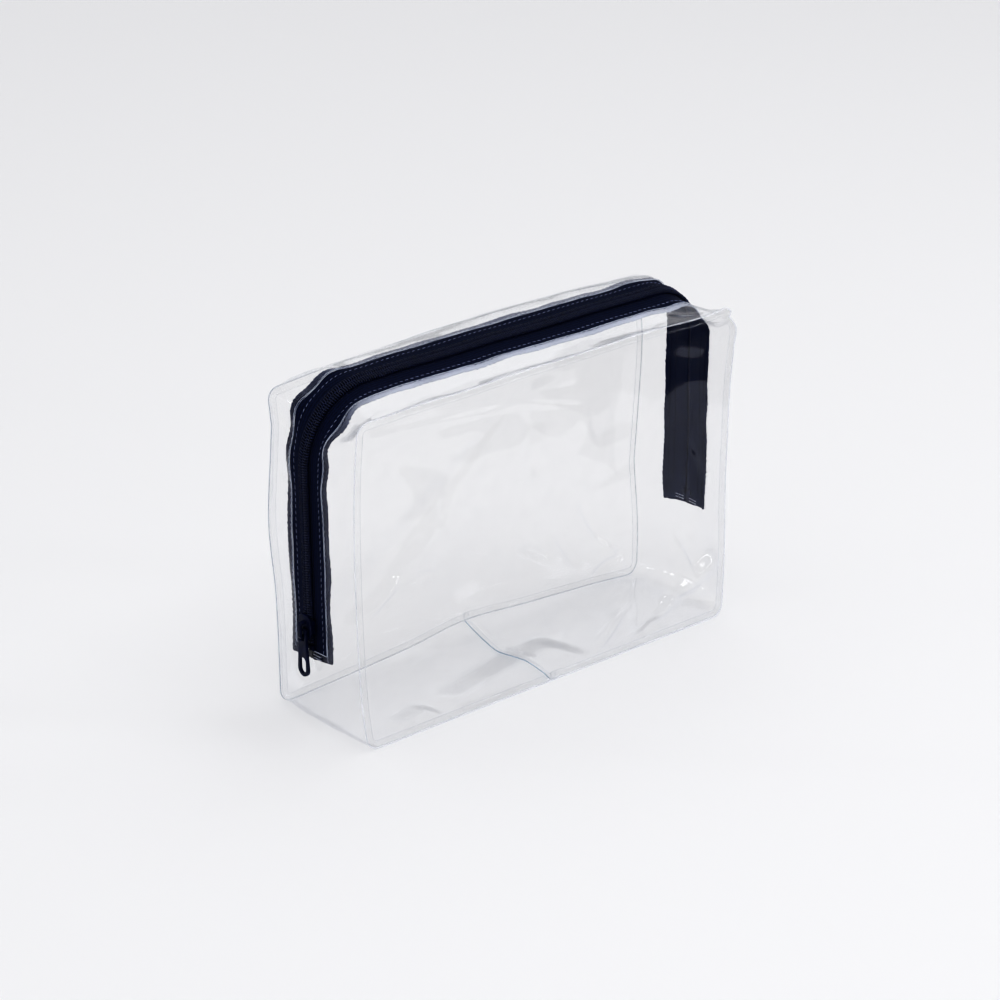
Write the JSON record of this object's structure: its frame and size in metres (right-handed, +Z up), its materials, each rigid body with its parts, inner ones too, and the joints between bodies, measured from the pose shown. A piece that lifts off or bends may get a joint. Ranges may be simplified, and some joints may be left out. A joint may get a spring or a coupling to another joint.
{
  "type": "makeup bag",
  "caption": "Clear film makeup bag with flat front and back panels, a rounded gusset and a zip over the top and part way down both ends.",
  "frame": {"origin": "middle of the flat base, on the surface that the bag stands on", "axes": "+X along the width, away from the end where the zip closes; +Y to the back panel; +Z up"},
  "size_m": [0.2625, 0.071, 0.1797],
  "materials": {
    "clear_film": "clear gloss PVC film",
    "zip_tape": "navy woven polyester tape",
    "coil": "dark navy nylon monofilament",
    "cord": "navy twisted cord",
    "navy_thread": "navy sewing thread",
    "pale_thread": "pale grey sewing thread",
    "painted_zinc": "dark navy gloss paint on die-cast zinc"
  },
  "bodies": {
    "bag": {"front_panel": "clear_film", "back_panel": "clear_film", "gusset": "clear_film", "zip_tape_front": "zip_tape", "zip_tape_back": "zip_tape", "zip_coil_front": "coil", "zip_coil_back": "coil", "coil_cord_front": "cord", "coil_cord_back": "cord", "coil_stitch_front": "navy_thread", "coil_stitch_back": "navy_thread", "tape_stitch_front": "pale_thread", "tape_stitch_back": "pale_thread", "edge_stitch_front": "pale_thread", "edge_stitch_back": "pale_thread", "end_tack_left": "pale_thread", "end_tack_right": "pale_thread", "top_stop_front": "painted_zinc", "top_stop_back": "painted_zinc", "bottom_stop": "painted_zinc"},
    "slider": {"slider_body": "painted_zinc"},
    "tab": {"pull_tab": "painted_zinc"}
  },
  "joints": [
    {"name": "slider_travel", "type": "slide", "parent": "bag", "child": "slider", "axis": [0, 0, 1], "range_m": [0, 0.074]},
    {"name": "tab_pivot", "type": "hinge", "parent": "slider", "child": "tab", "pos_m": [-0.13135, 0, 0.057], "axis": [0, 1, 0], "range_deg": [0, 170]}
  ]
}
